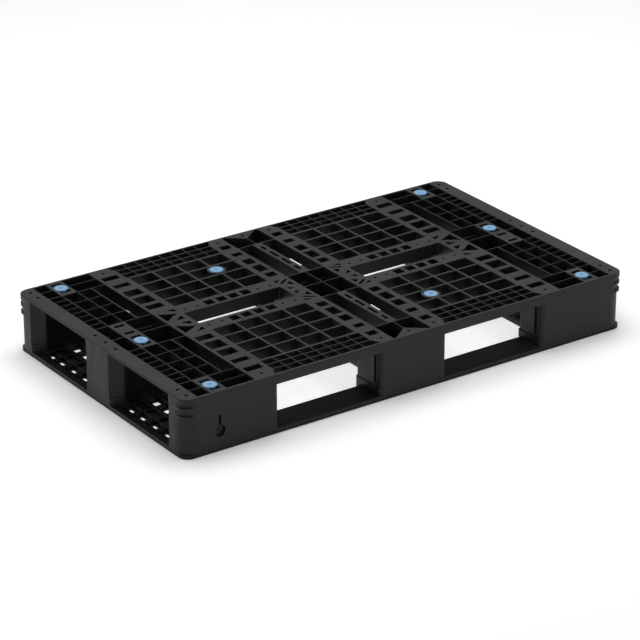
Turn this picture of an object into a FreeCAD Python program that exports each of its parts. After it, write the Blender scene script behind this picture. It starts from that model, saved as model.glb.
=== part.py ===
import FreeCAD
import Part
import math
import os
import Sketcher

# Plastic export pallet, 1200 x 700 mm, four-way entry, with nine hollow legs.
#
# Two injection mouldings, top_deck and bottom_deck, meet face to face at the
# weld level halfway up the feet of the legs. Eight rubber grommets sit in
# round seats in the top face.
#
# Frame: origin in the middle of the underside, +X along the long side, +Z up.
# Both mouldings are prismatic: flat profiles extruded between two levels, then
# fused and cut. Levels and lengths follow the sheet through expressions. The
# profiles hold several hundred windows, so they are faces drawn from the
# sheet's values; each window is listed once, for the quarter with positive X
# and Y, and copied to the other quarters.

doc = FreeCAD.newDocument("PlasticPallet")
sheet = doc.addObject("Spreadsheet::Sheet", "Sizes")

SIZES = {
    # overall
    "half_length": 600, "half_width": 350, "height": 140,
    "corner_radius": 25, "rim_radius": 2,
    # levels
    "weld_level": 30, "deck_underside": 117, "deep_level": 110, "channel_level": 113,
    "edge_plate": 4, "skin": 4, "strip_thickness": 12,
    # legs: the middle ones end here, and the outer ones start here
    "middle_leg_x": 91, "outer_leg_x": 358, "middle_leg_y": 66, "outer_leg_y": 270.5,
    "side_leg_y": 260, "side_round": 13,
    "lead_depth": 30, "lead_width": 20, "lead_round": 12, "lead_edge": 3,
    "cell_lead_depth": 20, "cell_lead_width": 13.5,
    "leg_corner_radius": 6, "wall": 4, "rib": 1.5,
    "stub_step": 2, "groove_width": 10, "groove_depth": 5, "groove_level": 40,
    # corner guards: a recess with two ribs across it
    "guard_radius": 38, "guard_cell_radius": 34, "guard_foot": 8, "guard_rim": 128,
    "guard_rib_low": 96, "guard_rib_high": 115, "guard_rib_half": 3.2,
    # short edge of the deck
    "edge_band": 561, "edge_hole_x": 577, "edge_hole_radius": 4.5,
    "edge_hole_a": 43, "edge_hole_b": 291.5, "edge_hole_c": 325,
    # cell pitch across the pallet, and the first full rib line
    "row_pitch": 50, "first_rib": 70,
    # end zone, three columns and a long channel, from the edge inwards
    "column_a_left": 528.9, "column_b_left": 488.7, "column_b_right": 526.9,
    "column_c_left": 453.1, "column_c_right": 487.2,
    "channel_left": 415, "channel_right": 450.7, "collar": 5.5,
    "end_pocket_low": 0.9, "end_pocket_high": 68.9, "corner_pocket_low": 271.1,
    "corner_pocket_rib": 309, "corner_pocket_high": 343,
    # grommets and the frames round them
    "frame_left": 495, "frame_right": 520, "grommet_x": 507.5,
    "grommet_side_y": 34, "grommet_corner_y": 308.6,
    "frame_window_low": 16, "frame_window_high": 26.5,
    "grommet_grid_x": 160.7, "grommet_grid_y": 196, "grommet_boss_radius": 22,
    "flange_radius": 16.5, "flange_height": 3.2, "barrel_radius": 13,
    "lip_radius": 14.2, "grommet_depth": 26, "grommet_proud": 0.8,
    "grommet_dish": 4, "seat_gap": 0.25,
    # cross bands: outer one, then the one beside the middle legs
    "outer_window_left": 365.5, "outer_window_right": 407.5, "outer_hole_x": 386.6,
    "inner_window_left": 60, "inner_window_right": 85.8, "inner_hole_x": 72.3,
    "band_hole_y": 325, "band_hole_radius": 4,
    "window_a_low": 90.5, "window_a_high": 114, "window_b_low": 127.5,
    "window_b_high": 165, "window_c_low": 177.5, "window_c_high": 208,
    "window_d_low": 233.5, "window_d_high": 252, "window_e_low": 281.5,
    "window_e_high": 302.5,
    # quadrant grid
    "grid_left": 100.5, "grid_cell_x": 58.5, "grid_pitch_x": 63.8,
    "grid_low": 76, "grid_high": 267.2, "grid_line": 120.5, "grid_bar": 5.2,
    # three rows of small cells along the long edge
    "edge_cell_left": 98, "edge_cell_x": 30.8, "edge_pitch_x": 32.3,
    "edge_cell_low": 273.6, "edge_cell_y": 21.6, "edge_pitch_y": 24,
    "edge_row_top": 343.5, "edge_flare": 11,
    # long slot and the band beside it
    "slot_left": 96, "slot_right": 355, "slot_half": 31.8, "slot_end_radius": 4,
    "port_left": 165.3, "port_size": 22.9, "port_pitch": 32.6, "port_low": 40,
    "slot_hole_y": 50, "slot_hole_radius": 3.4, "slot_hole_a": 110.5,
    "slot_hole_b": 144, "slot_hole_c": 307, "slot_hole_d": 340.5,
    # middle zone
    "spine_half": 12, "spine_slot": 4, "spine_rib": 0.9, "middle_zone": 51,
    "spine_a_low": 88, "spine_a_high": 114.5, "spine_b_low": 127,
    "spine_b_high": 163.5, "spine_c_low": 177.5, "spine_c_high": 213,
    "spine_d_low": 228, "spine_d_high": 250.5,
    "channel_low": 71.3, "channel_high": 268.7,
    "gusset_apex": 311, "gusset_run": 43, "gusset_hole_y": 330,
    # truss windows beside the slots
    "truss_a": 8, "truss_b": 22, "truss_c": 36, "truss_d": 46, "truss_e": 53,
    "truss_f": 64.5, "truss_far": 91.5, "truss_outer_left": 360, "truss_lean": 17,
    # bottom strips
    "strip_middle": 28, "strip_end": 408, "strip_side": 276,
    "strip_bar": 8, "grate_shift": 8, "grate_first": 71, "grate_rib": 4,
    "grate_floor": 3, "grate_hole_y": 18, "grate_hole_far": 3, "grate_hole_near": 13,
    "grate_a_left": 557, "grate_a_right": 582, "grate_b_left": 530,
    "grate_b_right": 549, "grate_c_left": 489, "grate_c_right": 522,
    "grate_d_left": 456, "grate_d_right": 481, "grate_e_left": 420,
    "grate_e_right": 448, "drain_radius": 6,
    "foot_line": 4, "foot_line_height": 1.6, "foot_line_depth": 2,
    "under_rib": 3.5, "under_pitch_x": 43.5, "under_pitch_y": 33,
    # hanging keyhole in the long sides
    "keyhole_x": 510, "keyhole_level": 48, "keyhole_radius": 14,
    "keyhole_slot": 3.2, "keyhole_top": 86, "keyhole_dish": 7, "keyhole_depth": 9,
    "keyhole_back": 13, "keyhole_back_half": 20,
}

for row, (alias, value) in enumerate(SIZES.items(), start=1):
    sheet.set("A%d" % row, alias)
    sheet.set("B%d" % row, str(value))
    sheet.setAlias("B%d" % row, alias)
doc.recompute()

PAST = 5              # how far a cut runs past a face that it opens
ORIGIN_POINT = (-1, 1)
UP = FreeCAD.Vector(0, 0, 1)
QUARTERS = [(1, 1), (-1, 1), (-1, -1), (1, -1)]
TWINS = [(1, 1), (-1, -1)]         # half a turn apart


class Values:
    """Read a cell of the sheet by its alias."""

    def __getattr__(self, alias):
        return float(sheet.get(alias))


V = Values()


# ------------------------------------------------------------ drawing helpers

def sized(text):
    """Turn '$name' in an expression into a reference to the sheet."""
    return text.replace("$", "Sizes.")


def rounded(corners):
    """Edges of a closed outline; each corner is (x, y) or (x, y, radius)."""
    ends = []
    count = len(corners)
    points = [FreeCAD.Vector(corner[0], corner[1], 0) for corner in corners]
    for i, (corner, point) in enumerate(zip(corners, points)):
        radius = corner[2] if len(corner) > 2 else 0
        before = (points[i - 1] - point).normalize()
        after = (points[(i + 1) % count] - point).normalize()
        half = before.getAngle(after) / 2
        run = radius / math.tan(half)
        middle = point + (before + after).normalize() * (radius / math.sin(half) - radius)
        ends.append((point + before * run, middle, point + after * run, radius))
    edges = []
    for i, (start, middle, end, radius) in enumerate(ends):
        if radius:
            edges.append(Part.Arc(start, middle, end))
        following = ends[(i + 1) % count][0]
        if (following - end).Length > 1e-6:
            edges.append(Part.LineSegment(end, following))
    return edges


def copies(corners, signs=QUARTERS):
    """The outline in each quarter; one that crosses an axis is not doubled."""
    placed = []
    seen = set()
    for sx, sy in signs:
        turned = [(sx * c[0], sy * c[1]) + tuple(c[2:]) for c in corners]
        key = tuple(sorted((round(c[0], 3), round(c[1], 3)) for c in turned))
        if key not in seen:
            seen.add(key)
            placed.append(turned)
    return placed


def box(left, right, low, high, radius=0):
    return [(left, low, radius), (right, low, radius), (right, high, radius),
            (left, high, radius)]


def grid(left, low, wide, deep, across=(1, 0), along=(1, 0)):
    """Equal boxes; across and along are (count, spacing)."""
    return [box(left + i * across[1], left + i * across[1] + wide,
                low + j * along[1], low + j * along[1] + deep)
            for i in range(across[0]) for j in range(along[0])]


def wires_of(outlines, signs=QUARTERS):
    """Closed wires of the outlines of one quarter and of their copies."""
    return [Part.Wire([edge.toShape() for edge in rounded(placed)])
            for corners in outlines for placed in copies(corners, signs)]


def circles_of(circles, signs=QUARTERS):
    """Circle wires from (x, y, radius) of one quarter and from their copies."""
    centres = {(sx * x, sy * y, radius) for x, y, radius in circles for sx, sy in signs}
    return [Part.Wire(Part.makeCircle(radius, FreeCAD.Vector(x, y, 0)))
            for x, y, radius in sorted(centres)]


def draw_outer(sketch):
    """Rounded outline of the pallet, held by the sheet through constraints."""
    edges = rounded(box(-V.half_length, V.half_length, -V.half_width, V.half_width,
                        V.corner_radius))
    ids = sketch.addGeometry(edges, False)
    arcs, lines = ids[0::2], ids[1::2]
    made = []
    for i, line in enumerate(lines):
        made.append((Sketcher.Constraint("Tangent", arcs[i], 2, line, 1), ""))
        made.append((Sketcher.Constraint("Tangent", line, 2, arcs[(i + 1) % 4], 1), ""))
    made.append((Sketcher.Constraint("Horizontal", lines[0]), ""))
    made.append((Sketcher.Constraint("Vertical", lines[1]), ""))
    made.append((Sketcher.Constraint("Horizontal", lines[2]), ""))
    made.append((Sketcher.Constraint("Vertical", lines[3]), ""))
    for first, second in ((0, 1), (1, 2), (2, 3)):
        made.append((Sketcher.Constraint("Equal", arcs[first], arcs[second]), ""))
    made.append((Sketcher.Constraint("Radius", arcs[0], V.corner_radius), "$corner_radius"))
    for kind, line, alias, sign in (
            ("DistanceY", lines[0], "half_width", -1), ("DistanceX", lines[1], "half_length", 1),
            ("DistanceY", lines[2], "half_width", 1), ("DistanceX", lines[3], "half_length", -1)):
        size = sign * getattr(V, alias)
        made.append((Sketcher.Constraint(kind, *ORIGIN_POINT, line, 1, size),
                     "%d * $%s" % (sign, alias)))
    numbers = sketch.addConstraint([constraint for constraint, text in made])
    for number, (constraint, text) in zip(numbers, made):
        if text:
            sketch.setExpression("Constraints[%d]" % number, sized(text))


def extrusion(name, base, level, length):
    """Solid from a flat object, from one level upwards."""
    base.setExpression("Placement.Base.z", sized(level))
    base.Visibility = False
    made = doc.addObject("Part::Extrusion", name)
    made.Base = base
    made.DirMode = "Custom"
    made.Dir = UP
    made.Solid = True
    made.setExpression("LengthFwd", sized(length))
    return made


def prism(name, wires, level, length):
    """Solid from wires; a wire inside another one is a hole."""
    profile = doc.addObject("Part::Feature", name + "Profile")
    profile.Shape = Part.makeFace(wires, "Part::FaceMakerBullseye")
    return extrusion(name, profile, level, length)


def block(name, level, length):
    """The whole outline of the pallet between two levels."""
    sketch = doc.addObject("Sketcher::SketchObject", name + "Sketch")
    draw_outer(sketch)
    return extrusion(name, sketch, level, length)


def fused(name, pieces):
    made = doc.addObject("Part::MultiFuse", name)
    made.Shapes = pieces
    made.Refine = False
    return made


def cut(name, base, tools):
    """Cut a list of tools out of a base."""
    tool = doc.addObject("Part::Compound", name + "Tools")
    tool.Links = tools
    made = doc.addObject("Part::Cut", name)
    made.Base = base
    made.Tool = tool
    made.Refine = False
    return made


def rounded_rim(label, base, level):
    """Round the edges of the outer walls at one level."""
    doc.recompute()
    edges = []
    for number, edge in enumerate(base.Shape.Edges, start=1):
        limits = edge.BoundBox
        flat = abs(limits.ZMin - level) < 0.01 and abs(limits.ZMax - level) < 0.01
        far_x = max(abs(limits.XMin), abs(limits.XMax)) > V.half_length - 0.01
        far_y = max(abs(limits.YMin), abs(limits.YMax)) > V.half_width - 0.01
        if flat and (far_x or far_y):
            edges.append((number, V.rim_radius, V.rim_radius))
    made = doc.addObject("Part::Fillet", label)
    made.Label = label
    made.Base = base
    made.Edges = edges
    return made


# ------------------------------------------------------- legs of both mouldings

def leg_outlines(step):
    """The four legs of one quarter, made wider by a step at their feet."""
    depth, width = V.lead_depth, V.lead_width
    inner, turn, edge, side = V.leg_corner_radius, V.lead_round, V.lead_edge, V.side_round
    middle_x, outer_x = V.middle_leg_x + step, V.outer_leg_x - step
    middle_y, outer_y = V.middle_leg_y + step, V.outer_leg_y - step
    end_x, end_y = V.half_length, V.half_width
    return [
        box(-middle_x, middle_x, -middle_y, middle_y, inner),
        [(-middle_x, V.side_leg_y - step, inner), (middle_x, V.side_leg_y - step, inner),
         (middle_x, end_y, side), (-middle_x, end_y, side)],
        [(outer_x, -middle_y, inner), (end_x - depth, -middle_y, turn),
         (end_x, width - middle_y, edge), (end_x, middle_y - width, edge),
         (end_x - depth, middle_y, turn), (outer_x, middle_y, inner)],
        [(outer_x, outer_y, inner), (end_x - depth, outer_y, turn),
         (end_x, outer_y + width, edge), (end_x, end_y, V.corner_radius),
         (outer_x, end_y, side)],
    ]


def leg_cells():
    """Hollow cells of the legs: columns and rows between their inner ribs."""
    wall, rib = V.wall, V.rib
    middle_columns = [(V.spine_rib, V.middle_zone - 1),
                      (V.middle_zone + rib, V.middle_leg_x - V.groove_depth - wall)]
    outer_columns = [(V.outer_leg_x + V.groove_depth + wall, V.channel_left - rib),
                     (V.channel_left, V.column_c_right),
                     (V.column_b_left, V.column_b_right),
                     (V.column_a_left, V.half_length - wall)]
    middle_row = (V.spine_rib, V.middle_leg_y - V.groove_depth - wall)
    outer_rows = [(V.outer_leg_y + V.groove_depth + wall, V.corner_pocket_rib - rib / 2),
                  (V.corner_pocket_rib + rib / 2, V.half_width - wall)]
    side_rows = [(V.side_leg_y + V.groove_depth + wall, outer_rows[0][1]), outer_rows[1]]
    cells = [box(left, right, *row) for columns, rows in (
        (middle_columns, [middle_row] + side_rows), (outer_columns, [middle_row] + outer_rows))
             for left, right in columns for row in rows]
    return [trimmed(cell) for cell in cells]


def trimmed(cell):
    """Keep a cell clear of the lead-ins and the rounded corner of its leg."""
    left, right, low, high = cell[0][0], cell[1][0], cell[0][1], cell[2][1]
    depth, width = V.cell_lead_depth, V.cell_lead_width
    at_side, at_end = high > V.half_width - V.wall - 1, right > V.half_length - V.wall - 1
    if at_side and at_end:
        return [(left, low), (right, low), (right, high, V.guard_cell_radius), (left, high)]
    if at_end and low < V.middle_leg_y:
        return [(left, low), (right, low), (right, high - width), (right - depth, high),
                (left, high)]
    if at_end:
        return [(left, low), (right - depth, low), (right, low + width), (right, high),
                (left, high)]
    return cell


def groove_strips():
    """Strips along the side walls of the legs, just behind the rounded corners."""
    back, depth = V.half_width - V.side_round - 1, V.groove_depth
    return [box(V.middle_leg_x - depth, V.middle_leg_x + PAST, back - V.groove_width, back),
            box(V.outer_leg_x - PAST, V.outer_leg_x + depth, back - V.groove_width, back)]


def guard_recess(name, bottom, top):
    """Tool that cuts the outer corners back to the guard radius."""
    centre_x, centre_y = V.half_length - V.guard_radius, V.half_width - V.guard_radius
    reach = V.guard_radius * math.sqrt(0.5)
    wires = []
    for sx, sy in QUARTERS:
        corners = [(centre_x, V.half_width), (centre_x, V.half_width + PAST),
                   (V.half_length + PAST, V.half_width + PAST),
                   (V.half_length + PAST, centre_y), (V.half_length, centre_y)]
        points = [FreeCAD.Vector(sx * x, sy * y, 0) for x, y in corners]
        middle = FreeCAD.Vector(sx * (centre_x + reach), sy * (centre_y + reach), 0)
        edges = [Part.makeLine(a, b) for a, b in zip(points, points[1:])]
        wires.append(Part.Wire(edges + [Part.Arc(points[-1], middle, points[0]).toShape()]))
    return prism(name, wires, bottom, "%s - (%s)" % (top, bottom))


# --------------------------------------------------------------------- top deck

def band_windows():
    rows = [(getattr(V, "window_%s_low" % w), getattr(V, "window_%s_high" % w)) for w in "abcde"]
    columns = [(V.outer_window_left, V.outer_window_right),
               (V.inner_window_left, V.inner_window_right)]
    return [box(left, right, low, high) for left, right in columns for low, high in rows]


def end_zone_windows():
    rib, half_pitch = V.rib, V.row_pitch / 2
    first = V.first_rib + rib / 2
    windows = [box(V.channel_left, V.channel_right, first, V.corner_pocket_low - rib)]
    for left, right in ((V.channel_left, V.column_c_right), (V.column_a_left, V.edge_band)):
        windows.append(box(left, right, V.end_pocket_low, V.end_pocket_high))
        windows.append(box(left, right, V.corner_pocket_low, V.corner_pocket_rib - rib / 2))
        windows.append(box(left, right, V.corner_pocket_rib + rib / 2, V.corner_pocket_high))
    for left, right in ((V.column_b_left, V.column_b_right), (V.column_c_left, V.column_c_right)):
        windows += grid(left, first, right - left, V.row_pitch - rib, along=(4, V.row_pitch))
    windows += grid(V.column_a_left, first, V.edge_band - V.column_a_left,
                    half_pitch - rib, along=(8, half_pitch))
    for middle in (V.grommet_side_y, V.grommet_corner_y):
        for low, high in ((V.frame_window_low, V.frame_window_high),
                          (-V.frame_window_high, -V.frame_window_low)):
            windows.append(box(V.frame_left, V.frame_right, middle + low, middle + high))
    return windows


def truss_windows():
    """Windows between the slanting bars at the ends of the long slots."""
    a, b, c, d, e, f = [getattr(V, "truss_" + letter) for letter in "abcdef"]
    near, right, far = V.inner_window_left, V.inner_window_right, V.truss_far
    inner = [[(far - 19, f), (far, e), (far, f)],
             [(near - 2, e + 4), (far - 9, c + 5), (far - 3, d), (near + 2, f - 3)],
             [(near, b + 1), (near + 14, c), (near, d)],
             [(right - V.truss_lean, a), (right, a), (right, b)]]
    near, right, far = V.outer_window_left, V.outer_window_right, V.truss_outer_left
    outer = [[(near, c + 2.5), (near + 16, c - 3), (right, b - 8), (right, f - 6)],
             [(far, e - 3), (far + 22, f + 1), (far, f + 1)],
             [(near, a), (near + 23, a), (near + 6, b + 1), (near, b)]]
    return inner + outer


def middle_zone_windows():
    rows = [(getattr(V, "spine_%s_low" % w), getattr(V, "spine_%s_high" % w)) for w in "abcd"]
    slots = [box(-V.spine_slot, V.spine_slot, low, high) for low, high in rows]
    pocket = box(V.spine_rib, V.middle_zone, V.spine_rib, V.end_pocket_high)
    channel = box(V.spine_half, V.middle_zone, V.channel_low, V.channel_high)
    gusset = [(V.spine_rib, V.corner_pocket_low), (V.middle_zone, V.corner_pocket_low),
              (V.middle_zone, V.edge_row_top), (V.gusset_run, V.edge_row_top),
              (V.spine_rib, V.gusset_apex)]
    return slots + [pocket, channel, gusset]


def quadrant_windows():
    lines = [V.grid_line + i * V.row_pitch for i in range(3)]
    lows = [V.grid_low] + [line + V.grid_bar / 2 for line in lines]
    highs = [line - V.grid_bar / 2 for line in lines] + [V.grid_high]
    cells = []
    for low, high in zip(lows, highs):
        cells += grid(V.grid_left, low, V.grid_cell_x, high - low, (4, V.grid_pitch_x))
    ports = grid(V.port_left, V.port_low, V.port_size, V.port_size, (4, V.port_pitch))
    slot = box(V.slot_left, V.slot_right, -V.slot_half, V.slot_half, V.slot_end_radius)
    return cells + ports + [slot]


def edge_row_windows():
    """Three rows along the long edge; the outer row flares at both its ends."""
    wide, deep, pitch = V.edge_cell_x, V.edge_cell_y, V.edge_pitch_x
    rows = grid(V.edge_cell_left, V.edge_cell_low, wide, deep, (8, pitch), (2, V.edge_pitch_y))
    low, high = V.edge_cell_low + 2 * V.edge_pitch_y, V.edge_row_top
    rows += grid(V.edge_cell_left + pitch, low, wide, high - low, (6, pitch))
    first, last = V.edge_cell_left, V.edge_cell_left + 7 * pitch + wide
    rows.append([(first, low), (first + wide, low), (first + wide, high),
                 (first - V.edge_flare, high)])
    rows.append([(last - wide, low), (last, low), (last + V.edge_flare, high),
                 (last - wide, high)])
    return rows


def deck_holes():
    holes = [(V.edge_hole_x, y, V.edge_hole_radius)
             for y in (0, V.edge_hole_a, V.edge_hole_b, V.edge_hole_c)]
    holes += [(x, V.slot_hole_y, V.slot_hole_radius)
              for x in (V.slot_hole_a, V.slot_hole_b, V.slot_hole_c, V.slot_hole_d)]
    holes += [(x, V.band_hole_y, V.band_hole_radius) for x in (V.outer_hole_x, V.inner_hole_x)]
    return holes + [(0, V.gusset_hole_y, V.band_hole_radius)]


def edge_plate_cut():
    """Space under the thin edge plate, from lead-in to lead-in of the legs."""
    low, high, width = V.middle_leg_y, V.outer_leg_y, V.lead_width
    near, back, end = V.edge_band + V.rib, V.half_length - V.lead_depth, V.half_length
    return [(near, low), (back, low), (end, low - width), (end + PAST, low - width),
            (end + PAST, high + width), (end, high + width), (back, high), (near, high)]


def deep_wall_outlines():
    """Zones whose walls reach lower than the rest: grid, slot, end columns."""
    rib, wall, collar = V.rib, V.wall, V.collar
    grid_right = V.grid_left + 3 * V.grid_pitch_x + V.grid_cell_x
    return [
        box(V.grid_left - wall, grid_right + wall, V.grid_low - wall, V.grid_high + wall),
        box(V.slot_left - wall, V.slot_right + wall, -V.slot_half - wall, V.slot_half + wall,
            V.slot_end_radius + wall),
        box(V.channel_left - wall, V.edge_band + wall, V.first_rib + rib / 2 - collar,
            V.corner_pocket_low - rib + collar)]


def grommet_places():
    """Name, x, y of the eight grommets; the layout is the same after half a turn."""
    places = [("grommet_corner_%s_%s" % (end, side), sx * V.grommet_x, sy * V.grommet_corner_y)
              for end, sx in (("left", -1), ("right", 1))
              for side, sy in (("front", -1), ("rear", 1))]
    places += [("grommet_end_left", -V.grommet_x, -V.grommet_side_y),
               ("grommet_end_right", V.grommet_x, V.grommet_side_y),
               ("grommet_grid_left", -V.grommet_grid_x, V.grommet_grid_y),
               ("grommet_grid_right", V.grommet_grid_x, -V.grommet_grid_y)]
    return places


def grommet_seats():
    """Counterbores for the flanges, holes for the barrels, and room for the lips."""
    tools = []
    for name, radius, level, top in (
            ("FlangeSeats", V.flange_radius, "$height - $flange_height", "$height + %d" % PAST),
            ("BarrelHoles", V.barrel_radius, "$deck_underside - 1", "$height + %d" % PAST),
            ("LipRooms", V.lip_radius + 1, "$deep_level - %d" % PAST, "$deck_underside")):
        wires = circles_of([(x, y, radius + V.seat_gap) for label, x, y in grommet_places()],
                           [(1, 1)])
        tools.append(prism(name, wires, level, "%s - (%s)" % (top, level)))
    return tools


def side_pocket(name, side, edges, depth):
    """Tool cut inwards from a long side; the edges lie in that side's plane."""
    profile = doc.addObject("Part::Feature", name + "Profile")
    profile.Shape = Part.Face(Part.Wire(edges))
    profile.Visibility = False
    made = doc.addObject("Part::Extrusion", name)
    made.Base = profile
    made.DirMode = "Custom"
    made.Dir = FreeCAD.Vector(0, -side, 0)
    made.Solid = True
    made.setExpression("LengthFwd", sized(depth))
    return made


def keyhole(name, side):
    """Shallow round dish with a deeper slot that points up from its middle."""
    centre, half = side * V.keyhole_x, V.keyhole_slot

    def point(x, z):
        return FreeCAD.Vector(x, side * V.half_width, z)

    dish = [Part.makeCircle(V.keyhole_radius, point(centre, V.keyhole_level),
                            FreeCAD.Vector(0, 1, 0))]
    low, high = V.keyhole_level, V.keyhole_top - half
    corners = [point(centre - half, high), point(centre - half, low),
               point(centre + half, low), point(centre + half, high)]
    slot = [Part.makeLine(a, b) for a, b in zip(corners, corners[1:])]
    slot.append(Part.Arc(corners[-1], point(centre, V.keyhole_top), corners[0]).toShape())
    return [side_pocket(name + "Dish", side, dish, "$keyhole_dish"),
            side_pocket(name + "Slot", side, slot, "$keyhole_depth")]


def build_top_deck():
    deck = block("Deck", "$deck_underside", "$height - $deck_underside")
    windows = prism("Windows", wires_of(
        end_zone_windows() + band_windows() + truss_windows() + middle_zone_windows()
        + quadrant_windows() + edge_row_windows()) + circles_of(deck_holes()),
        "$deep_level - %d" % PAST, "$height + %d - $deep_level" % (2 * PAST))
    legs = prism("Legs", wires_of(leg_outlines(0) + leg_cells()), "$weld_level",
                 "$deck_underside - $weld_level")
    deep_walls = prism("DeepWalls", wires_of(deep_wall_outlines()), "$deep_level",
                       "$deck_underside - $deep_level")
    bosses = prism("Bosses", circles_of(
        [(-V.grommet_grid_x, V.grommet_grid_y, V.grommet_boss_radius)], TWINS),
        "$deck_underside", "$height - $deck_underside")
    half = V.keyhole_back_half
    backs = prism("KeyholeBacks", wires_of(
        [box(V.keyhole_x - half, V.keyhole_x + half, V.half_width - V.keyhole_back,
             V.half_width - 1)], TWINS), "$weld_level", "$keyhole_top + $wall - $weld_level")
    channel_walls = prism("ChannelWalls", wires_of(
        [box(V.spine_half - V.wall, V.middle_zone + V.wall, V.channel_low - V.collar,
             V.channel_high + V.collar)]), "$channel_level", "$deck_underside - $channel_level")
    whole = fused("WholeDeck", [deck, deep_walls, channel_walls])
    body = fused("TopBody", [cut("OpenDeck", whole, [windows]),
                             legs, bosses, backs])
    edge_plate = prism("EdgePlate", wires_of([edge_plate_cut()]), "$deep_level - %d" % PAST,
                       "$height - $edge_plate - $deep_level + %d" % PAST)
    grooves = prism("Grooves", wires_of(groove_strips()),
                    "$groove_level", "$deck_underside - $groove_level")
    guards = [guard_recess(*levels) for levels in (
        ("GuardLow", "$weld_level - %d" % PAST, "$guard_rib_low - $guard_rib_half"),
        ("GuardMiddle", "$guard_rib_low + $guard_rib_half", "$guard_rib_high - $guard_rib_half"),
        ("GuardHigh", "$guard_rib_high + $guard_rib_half", "$guard_rim"))]
    tools = [edge_plate, grooves] + guards + grommet_seats()
    tools += keyhole("KeyholeFront", -1) + keyhole("KeyholeRear", 1)
    return rounded_rim("top_deck", cut("TopCut", body, tools), V.height)


# ------------------------------------------------------------------ bottom deck

def strip_opening():
    """Opening between the bottom strips, stepped round the feet of the legs."""
    step = V.stub_step
    middle_x, outer_x = V.middle_leg_x + step, V.outer_leg_x - step
    middle_y, near = V.middle_leg_y + step, V.strip_middle
    corner = V.leg_corner_radius
    side_y = V.side_leg_y - step
    return [(near, middle_y, corner), (middle_x, middle_y, corner), (middle_x, near, corner),
            (outer_x, near, corner), (outer_x, middle_y, corner),
            (V.strip_end, middle_y, corner), (V.strip_end, V.strip_side, corner),
            (middle_x, V.strip_side, corner), (middle_x, side_y, corner),
            (near, side_y, corner)]


def grate_rows():
    """Low and high lines of the grate's rows; they stand off centre in Y."""
    near, far = V.middle_leg_y + V.stub_step + 1, V.outer_leg_y - V.stub_step - 1
    first, last = V.grate_first - V.grate_shift, V.grate_first + V.grate_shift
    rows = []
    for i in range(4):
        low, high = first + i * V.row_pitch, first + (i + 1) * V.row_pitch
        rows.append((max(low + V.grate_rib / 2, near), min(high - V.grate_rib / 2, far)))
        low, high = last + i * V.row_pitch, last + (i + 1) * V.row_pitch
        rows.append((max(-high + V.grate_rib / 2, -far), min(-low - V.grate_rib / 2, -near)))
    return rows


def grate_cells():
    """Pockets of the two end strips, open at the top."""
    gap = (V.strip_bar - V.grate_rib) / 2
    return [box(getattr(V, "grate_%s_left" % c) - gap, getattr(V, "grate_%s_right" % c) + gap,
                low, high) for c in "abcde" for low, high in grate_rows()]


def grate_holes():
    """Holes through the floors of the pockets, in all columns but the second."""
    return [box(getattr(V, "grate_%s_left" % c) + V.grate_hole_far,
                getattr(V, "grate_%s_right" % c) - V.grate_hole_near,
                low + V.grate_rib, low + V.grate_rib + V.grate_hole_y)
            for c in "acde" for low, high in grate_rows()]


def under_cells():
    """Pockets between the ribs under the smooth strips."""
    rib = V.under_rib
    near, far = V.middle_leg_x + V.stub_step, V.outer_leg_x - V.stub_step
    wide, deep = V.under_pitch_x, V.under_pitch_y
    across = int((far - near - rib) // wide)
    pitch = (far - near - rib) / across
    side = grid(near + rib, V.strip_side + rib, pitch - rib, deep - rib, (across, pitch),
                (2, deep))
    middle = [box(near + rib + i * pitch, near + (i + 1) * pitch, rib / 2,
                  V.strip_middle - rib) for i in range(across)]
    low, high = V.middle_leg_y + V.stub_step, V.side_leg_y - V.stub_step
    cross = grid(rib / 2, low + rib, V.strip_middle - 1.5 * rib, V.row_pitch - rib,
                 along=(int((high - low) // V.row_pitch), V.row_pitch))
    return side + middle + cross


def build_bottom_deck():
    plate = block("Plate", "0", "$strip_thickness")
    openings = prism("Openings", wires_of([strip_opening()]) + wires_of(grate_holes(), TWINS),
                     "-%d" % PAST, "$strip_thickness + %d" % (2 * PAST))
    grate = prism("GratePockets", wires_of(grate_cells(), TWINS), "$grate_floor",
                  "$strip_thickness - $grate_floor + %d" % PAST)
    feet = prism("Feet", wires_of(leg_outlines(V.stub_step)), "$strip_thickness",
                 "$weld_level - $strip_thickness")
    body = fused("BottomBody", [cut("OpenPlate", plate, [openings, grate]), feet])
    hollows = prism("FootHollows", wires_of(leg_cells()), "$skin", "$weld_level")
    pockets = prism("UnderPockets", wires_of(under_cells()), "-%d" % PAST,
                    "$strip_thickness - $skin + %d" % PAST)
    middles = [((cell[0][0] + cell[1][0]) / 2, (cell[0][1] + cell[2][1]) / 2, V.drain_radius)
               for cell in leg_cells()]
    drains = prism("Drains", circles_of(middles), "-%d" % PAST, "$skin + %d" % (2 * PAST))
    guard = guard_recess("GuardFoot", "$guard_foot", "$weld_level + %d" % PAST)
    inset = V.foot_line_depth
    long_end, wide_end = V.half_length, V.half_width
    foot_line = prism("FootLine", wires_of([
        box(-long_end - PAST, long_end + PAST, -wide_end - PAST, wide_end + PAST),
        box(inset - long_end, long_end - inset, inset - wide_end, wide_end - inset,
            V.corner_radius - inset)]), "$foot_line", "$foot_line_height")
    tools = [hollows, pockets, drains, guard, foot_line]
    return rounded_rim("bottom_deck", cut("BottomCut", body, tools), 0)


# --------------------------------------------------------------------- grommets

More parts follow.
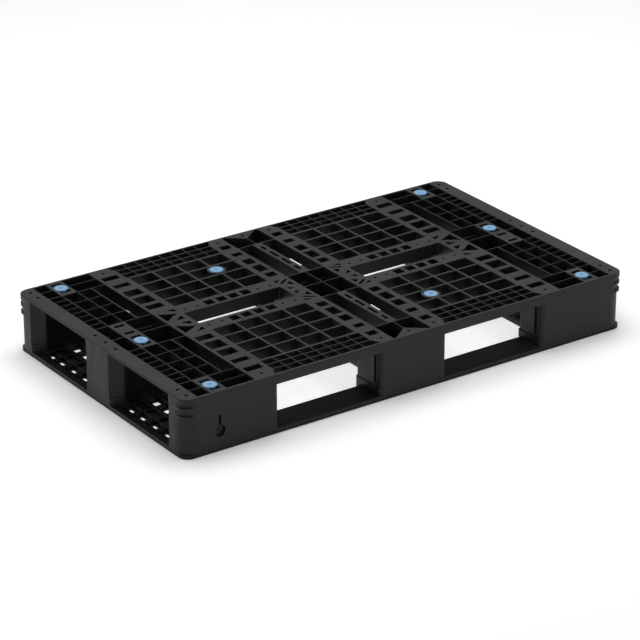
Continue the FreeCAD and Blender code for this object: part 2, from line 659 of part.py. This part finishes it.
def build_grommet(label, x, y):
    """Flanged plug: dished head, barrel, and a snap lip under the deck."""
    body = doc.addObject("PartDesign::Body", label)
    sketch = body.newObject("Sketcher::SketchObject", label + "_section")
    plane = next(f for f in body.Origin.OriginFeatures if f.Role == "XZ_Plane")
    sketch.AttachmentSupport = [(plane, "")]
    sketch.MapMode = "FlatFace"
    head, barrel, lip = V.flange_radius, V.barrel_radius, V.lip_radius
    top, depth = V.grommet_proud, V.grommet_depth
    edge, dish, hollow = 0.8, V.grommet_dish, 0.6
    section = [(0, -depth), (barrel - 2, -depth), (lip, -depth + 2), (barrel, -depth + 2.6),
               (barrel, -V.flange_height), (head, -V.flange_height), (head, top - edge),
               (head - edge, top), (dish, top), (dish - hollow, top - hollow),
               (0, top - hollow)]
    sketch.addGeometry(rounded(section), False)
    made = body.newObject("PartDesign::Revolution", label + "_turned")
    made.Profile = sketch
    made.ReferenceAxis = (sketch, ["V_Axis"])
    made.Angle = 360
    sketch.Visibility = False
    body.Tip = made
    body.setExpression("Placement.Base.z", sized("$height"))
    body.Placement.Base = FreeCAD.Vector(x, y, V.height)
    return body


# ------------------------------------------------------------ build and export

bodies = [build_top_deck(), build_bottom_deck()]
bodies += [build_grommet(label, x, y) for label, x, y in grommet_places()]
doc.recompute()

for item in doc.Objects:
    if "Invalid" in item.State or "Error" in item.State:
        raise RuntimeError("%s failed: %s" % (item.Name, item.getStatusString()))
    if item.TypeId == "Part::Cut" and item.Shape.Volume >= item.Base.Shape.Volume:
        raise RuntimeError(item.Name + " cut nothing")
for body in bodies:
    if body.Shape.isNull() or not body.Shape.isValid() or len(body.Shape.Solids) != 1:
        raise RuntimeError(body.Label + " is not one valid solid")

os.makedirs("parts", exist_ok=True)
for body in bodies:
    body.Shape.exportStep("parts/%s.step" % body.Label)
    print("%s %.1f cm3" % (body.Label, body.Shape.Volume / 1000))
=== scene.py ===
import bpy
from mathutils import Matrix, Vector


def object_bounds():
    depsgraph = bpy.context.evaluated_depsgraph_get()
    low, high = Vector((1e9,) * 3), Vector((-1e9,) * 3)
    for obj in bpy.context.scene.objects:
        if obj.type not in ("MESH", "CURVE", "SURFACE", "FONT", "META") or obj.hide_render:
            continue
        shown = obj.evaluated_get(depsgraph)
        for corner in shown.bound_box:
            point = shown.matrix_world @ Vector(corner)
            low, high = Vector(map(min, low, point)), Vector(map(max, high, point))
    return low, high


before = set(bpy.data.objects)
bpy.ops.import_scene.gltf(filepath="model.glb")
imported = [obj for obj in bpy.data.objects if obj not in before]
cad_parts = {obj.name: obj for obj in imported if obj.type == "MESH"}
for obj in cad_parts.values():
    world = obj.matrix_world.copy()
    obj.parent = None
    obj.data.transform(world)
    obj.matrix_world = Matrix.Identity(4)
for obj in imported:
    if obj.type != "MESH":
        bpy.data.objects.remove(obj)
cad_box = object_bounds()

# lengths in metres, colours as linear red, green and blue
FLOOR_HALF = 30.0      # half the side of the floor
PATCH_INSET = 0.012    # the floor under the pallet starts this far inside its outline
FLOOR_GLOW, PATCH_GLOW = 0.05, 0.45
WORLD_STRENGTH = 0.7
HORIZON_BLEND = 0.02   # the world fades in over this height either side of the horizon
OVERHEAD_WATTS, LEFT_SIDE_WATTS = 60, 9
LIGHT_TARGET = (0, 0, 0.1)
CAMERA_PLACE = (-3.5973, -5.1294, 2.8684)
CAMERA_TARGET = (-0.0445, -0.0533, 0.075)
LENS_MM, SENSOR_MM, CLIP_END = 168.85, 36, 200

FLAT_COSINE, EDGE_COSINE = 0.995, 0.86   # of the angle between rounded and flat normal
PLASTIC_IOR = 1.34
PLASTIC_TINT = (0.92, 1.0, 0.96)
PLASTIC_DARK, PLASTIC_LIGHT = (0.0030, 0.0032, 0.0036), (0.0060, 0.0062, 0.0066)
FLOW_GREY, SPECK_GREY = (0.0105, 0.0105, 0.0110), (0.020, 0.020, 0.021)
SCUFF_GREY, CHIP_GREY = (0.034, 0.034, 0.035), (0.030, 0.030, 0.031)
BLUE_DARK, BLUE_LIGHT = (0.058, 0.190, 0.400), (0.080, 0.230, 0.455)
BLOOM_BLUE, DUST_BLUE = (0.188, 0.335, 0.490), (0.26, 0.39, 0.54)
WORN_BLUE = (0.20, 0.34, 0.52)
FLOOR_DARK, FLOOR_LIGHT = (0.93, 0.93, 0.93), (0.95, 0.95, 0.95)


# ------------------------------------------------------------- node helpers

class Shader:
    """A material whose nodes are added and linked in one call each."""

    def __init__(self, name):
        self.material = bpy.data.materials.new(name)
        self.material.use_nodes = True
        self.tree = self.material.node_tree
        self.surface = self.tree.nodes["Principled BSDF"]
        where = self.add("ShaderNodeTexCoord").outputs
        self.place, self.own_box = where["Object"], where["Generated"]

    def add(self, kind, inputs=None, **settings):
        node = self.tree.nodes.new(kind)
        for key, value in settings.items():
            setattr(node, key, value)
        for key, value in (inputs or {}).items():
            if isinstance(value, bpy.types.NodeSocket):
                self.tree.links.new(value, node.inputs[key])
            else:
                node.inputs[key].default_value = value
        return node

    def noise(self, scale, detail, rough=0.55, place=None, distortion=0.0):
        made = self.add("ShaderNodeTexNoise", {
            "Vector": place or self.place, "Scale": scale, "Detail": detail,
            "Roughness": rough, "Distortion": distortion})
        return made.outputs["Fac"]

    def stretched(self, scale, turn):
        made = self.add("ShaderNodeMapping", {
            "Vector": self.place, "Scale": scale, "Rotation": turn})
        return made.outputs["Vector"]

    def remap(self, value, low, high, to_low=0.0, to_high=1.0):
        made = self.add("ShaderNodeMapRange", {
            "Value": value, "From Min": low, "From Max": high,
            "To Min": to_low, "To Max": to_high})
        return made.outputs["Result"]

    def math(self, operation, first, second):
        made = self.add("ShaderNodeMath", {0: first, 1: second}, operation=operation)
        return made.outputs["Value"]

    def blend(self, factor, first, second):
        colours = [value if isinstance(value, bpy.types.NodeSocket) else (*value, 1.0)
                   for value in (first, second)]
        made = self.add("ShaderNodeMix", {0: factor, 6: colours[0], 7: colours[1]},
                        data_type="RGBA")
        return made.outputs[2]

    def bump(self, height, distance, strength, normal):
        made = self.add("ShaderNodeBump", {
            "Height": height, "Distance": distance, "Strength": strength, "Normal": normal})
        return made.outputs["Normal"]

    def connect(self, value, socket):
        self.tree.links.new(value, self.surface.inputs[socket])


# ---------------------------------------------------------------- materials

def edge_wear(shader, radius):
    """Softly rounded normal, and a mask that is one on sharp edges."""
    soft = shader.add("ShaderNodeBevel", {"Radius": radius}, samples=6).outputs["Normal"]
    flat = shader.add("ShaderNodeNewGeometry").outputs["True Normal"]
    along = shader.add("ShaderNodeVectorMath", {0: soft, 1: flat}, operation="DOT_PRODUCT")
    mask = shader.remap(along.outputs["Value"], FLAT_COSINE, EDGE_COSINE)
    return soft, mask


def black_plastic():
    """Black moulding: satin, slightly mottled, scuffed, pale on edges."""
    shader = Shader("black_moulded_plastic")
    soft, edges = edge_wear(shader, 0.0014)
    mottle = shader.noise(9.0, 4.0, 0.6)
    flow = shader.noise(4.0, 3.0, 0.5, place=shader.stretched((0.6, 5.0, 2.0), (0, 0, 0.35)),
                        distortion=1.2)
    grain = shader.noise(900.0, 2.0, 0.6)
    specks = shader.noise(260.0, 2.0, 0.7)
    scuff_a = shader.noise(60.0, 3.0, 0.65, place=shader.stretched((0.5, 9.0, 4.0), (0, 0, 0.5)))
    scuff_b = shader.noise(60.0, 3.0, 0.65, place=shader.stretched((8.0, 0.6, 4.0), (0, 0, -0.3)))
    scuffs = shader.math("MAXIMUM", shader.remap(scuff_a, 0.66, 0.78),
                         shader.remap(scuff_b, 0.67, 0.79))
    patchy = shader.remap(shader.noise(5.0, 2.0), 0.42, 0.62)
    worn = shader.math("MULTIPLY", scuffs, patchy)

    base = shader.blend(shader.remap(mottle, 0.3, 0.7), PLASTIC_DARK, PLASTIC_LIGHT)
    base = shader.blend(shader.math("MULTIPLY", shader.remap(flow, 0.45, 0.75), 0.35),
                        base, FLOW_GREY)
    base = shader.blend(shader.math("MULTIPLY", shader.remap(specks, 0.70, 0.78), 0.5),
                        base, SPECK_GREY)
    base = shader.blend(shader.math("MULTIPLY", worn, 0.6), base, SCUFF_GREY)
    chips = shader.math("MULTIPLY", edges, shader.remap(shader.noise(45.0, 4.0), 0.40, 0.62))
    base = shader.blend(shader.math("MULTIPLY", chips, 0.55), base, CHIP_GREY)
    shader.connect(base, "Base Color")

    rough = shader.math("ADD", shader.remap(mottle, 0.3, 0.7, 0.37, 0.53),
                        shader.remap(flow, 0.4, 0.7, -0.03, 0.05))
    rough = shader.math("ADD", rough, shader.math("MULTIPLY", worn, 0.12))
    shader.connect(rough, "Roughness")

    waves = shader.bump(shader.noise(14.0, 2.0, 0.5), 0.0012, 0.45, soft)
    scratched = shader.bump(scuffs, -0.00006, 0.5, waves)
    shader.connect(shader.bump(grain, 0.00012, 0.5, scratched), "Normal")
    shader.surface.inputs["IOR"].default_value = PLASTIC_IOR
    shader.surface.inputs["Specular Tint"].default_value = (*PLASTIC_TINT, 1.0)
    return shader.material


def blue_rubber():
    """Matte blue rubber: dark rim, pale bloomed ring, stronger blue round the gate mark."""
    shader = Shader("blue_grip_rubber")
    soft, edges = edge_wear(shader, 0.0007)
    cloud = shader.noise(120.0, 3.0, 0.6)
    dust = shader.noise(900.0, 2.0, 0.6)
    across = shader.add("ShaderNodeMapping", {
        "Vector": shader.own_box, "Location": (-1.0, -1.0, 0.0), "Scale": (2.0, 2.0, 0.0)})
    radius = shader.add("ShaderNodeVectorMath", {0: across.outputs["Vector"]},
                        operation="LENGTH").outputs["Value"]
    radius = shader.math("ADD", radius, shader.remap(cloud, 0.3, 0.7, -0.05, 0.05))
    ring = shader.math("MULTIPLY", shader.remap(radius, 0.22, 0.42),
                       shader.remap(radius, 0.90, 0.72))
    base = shader.blend(shader.remap(cloud, 0.3, 0.7), BLUE_DARK, BLUE_LIGHT)
    base = shader.blend(shader.math("MULTIPLY", ring, 0.85), base, BLOOM_BLUE)
    base = shader.blend(shader.math("MULTIPLY", shader.remap(dust, 0.55, 0.75), 0.25),
                        base, DUST_BLUE)
    base = shader.blend(shader.math("MULTIPLY", edges, 0.2), base, WORN_BLUE)
    shader.connect(base, "Base Color")
    shader.connect(shader.remap(cloud, 0.3, 0.7, 0.58, 0.72), "Roughness")
    shader.connect(shader.bump(dust, 0.0001, 0.5, soft), "Normal")
    shader.surface.inputs["Sheen Weight"].default_value = 0.1
    return shader.material


def pale_floor(name, glow):
    """Nearly white, matte, and glowing by the amount given."""
    shader = Shader(name)
    tone = shader.remap(shader.noise(0.8, 2.0), 0.3, 0.7)
    shader.connect(shader.blend(tone, FLOOR_DARK, FLOOR_LIGHT), "Base Color")
    shader.surface.inputs["Roughness"].default_value = 0.9
    shader.surface.inputs["Specular IOR Level"].default_value = 0.1
    shader.surface.inputs["Emission Color"].default_value = (1.0, 1.0, 1.0, 1.0)
    shader.surface.inputs["Emission Strength"].default_value = glow
    return shader.material


plastic, rubber = black_plastic(), blue_rubber()
for name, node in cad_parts.items():
    material = rubber if name.startswith("grommet") else plastic
    node.data.materials.clear()
    node.data.materials.append(material)


# -------------------------------------------------------------------- studio

def add_floor():
    """A wide floor with a hole, and a brighter patch in it under the pallet.

    The patch shows white through the openings but lights no other surface diffusely.
    """
    far = FLOOR_HALF
    near_x, near_y = (cad_box[1][axis] - PATCH_INSET for axis in (0, 1))
    corners = [(-far, -far), (far, -far), (far, far), (-far, far),
               (-near_x, -near_y), (near_x, -near_y), (near_x, near_y), (-near_x, near_y)]
    points = [(x, y, 0) for x, y in corners]
    around = [(i, (i + 1) % 4, 4 + (i + 1) % 4, 4 + i) for i in range(4)]
    under = [(4, 5, 6, 7)]
    for name, faces, glow, lights_others in (("floor", around, FLOOR_GLOW, True),
                                             ("floor_patch", under, PATCH_GLOW, False)):
        mesh = bpy.data.meshes.new(name)
        mesh.from_pydata(points, [], faces)
        piece = bpy.data.objects.new(name, mesh)
        bpy.context.scene.collection.objects.link(piece)
        mesh.materials.append(pale_floor(name, glow))
        piece.visible_diffuse = lights_others


def look_at(item, place, target):
    item.location = Vector(place)
    item.rotation_euler = (Vector(target) - Vector(place)).to_track_quat("-Z", "Y").to_euler()


def add_light(name, place, size, power):
    lamp = bpy.data.lights.new(name, "AREA")
    lamp.shape = "RECTANGLE"
    lamp.size, lamp.size_y = size
    lamp.energy = power
    item = bpy.data.objects.new(name, lamp)
    bpy.context.scene.collection.objects.link(item)
    look_at(item, place, LIGHT_TARGET)


def add_camera():
    lens = bpy.data.cameras.new("camera")
    lens.lens = LENS_MM
    lens.sensor_width = SENSOR_MM
    lens.clip_end = CLIP_END
    camera = bpy.data.objects.new("camera", lens)
    bpy.context.scene.collection.objects.link(camera)
    look_at(camera, CAMERA_PLACE, CAMERA_TARGET)
    bpy.context.scene.camera = camera


def add_world():
    """Even white light from above the floor only."""
    world = bpy.data.worlds.new("studio")
    world.use_nodes = True
    nodes, links = world.node_tree.nodes, world.node_tree.links
    direction = nodes.new("ShaderNodeTexCoord").outputs["Generated"]
    split = nodes.new("ShaderNodeSeparateXYZ")
    links.new(direction, split.inputs["Vector"])
    above = nodes.new("ShaderNodeMapRange")
    above.inputs["From Min"].default_value = -HORIZON_BLEND
    above.inputs["From Max"].default_value = HORIZON_BLEND
    above.inputs["To Max"].default_value = WORLD_STRENGTH
    links.new(split.outputs["Z"], above.inputs["Value"])
    background = nodes["Background"]
    background.inputs["Color"].default_value = (1.0, 1.0, 1.0, 1.0)
    links.new(above.outputs["Result"], background.inputs["Strength"])
    bpy.context.scene.world = world


bpy.context.scene.view_settings.view_transform = "Standard"
add_floor()
add_world()
add_light("overhead", place=(0.3, 0.6, 3.2), size=(3.0, 2.4), power=OVERHEAD_WATTS)
add_light("left_side", place=(-3.2, 0.6, 1.0), size=(2.0, 1.6), power=LEFT_SIDE_WATTS)
add_camera()
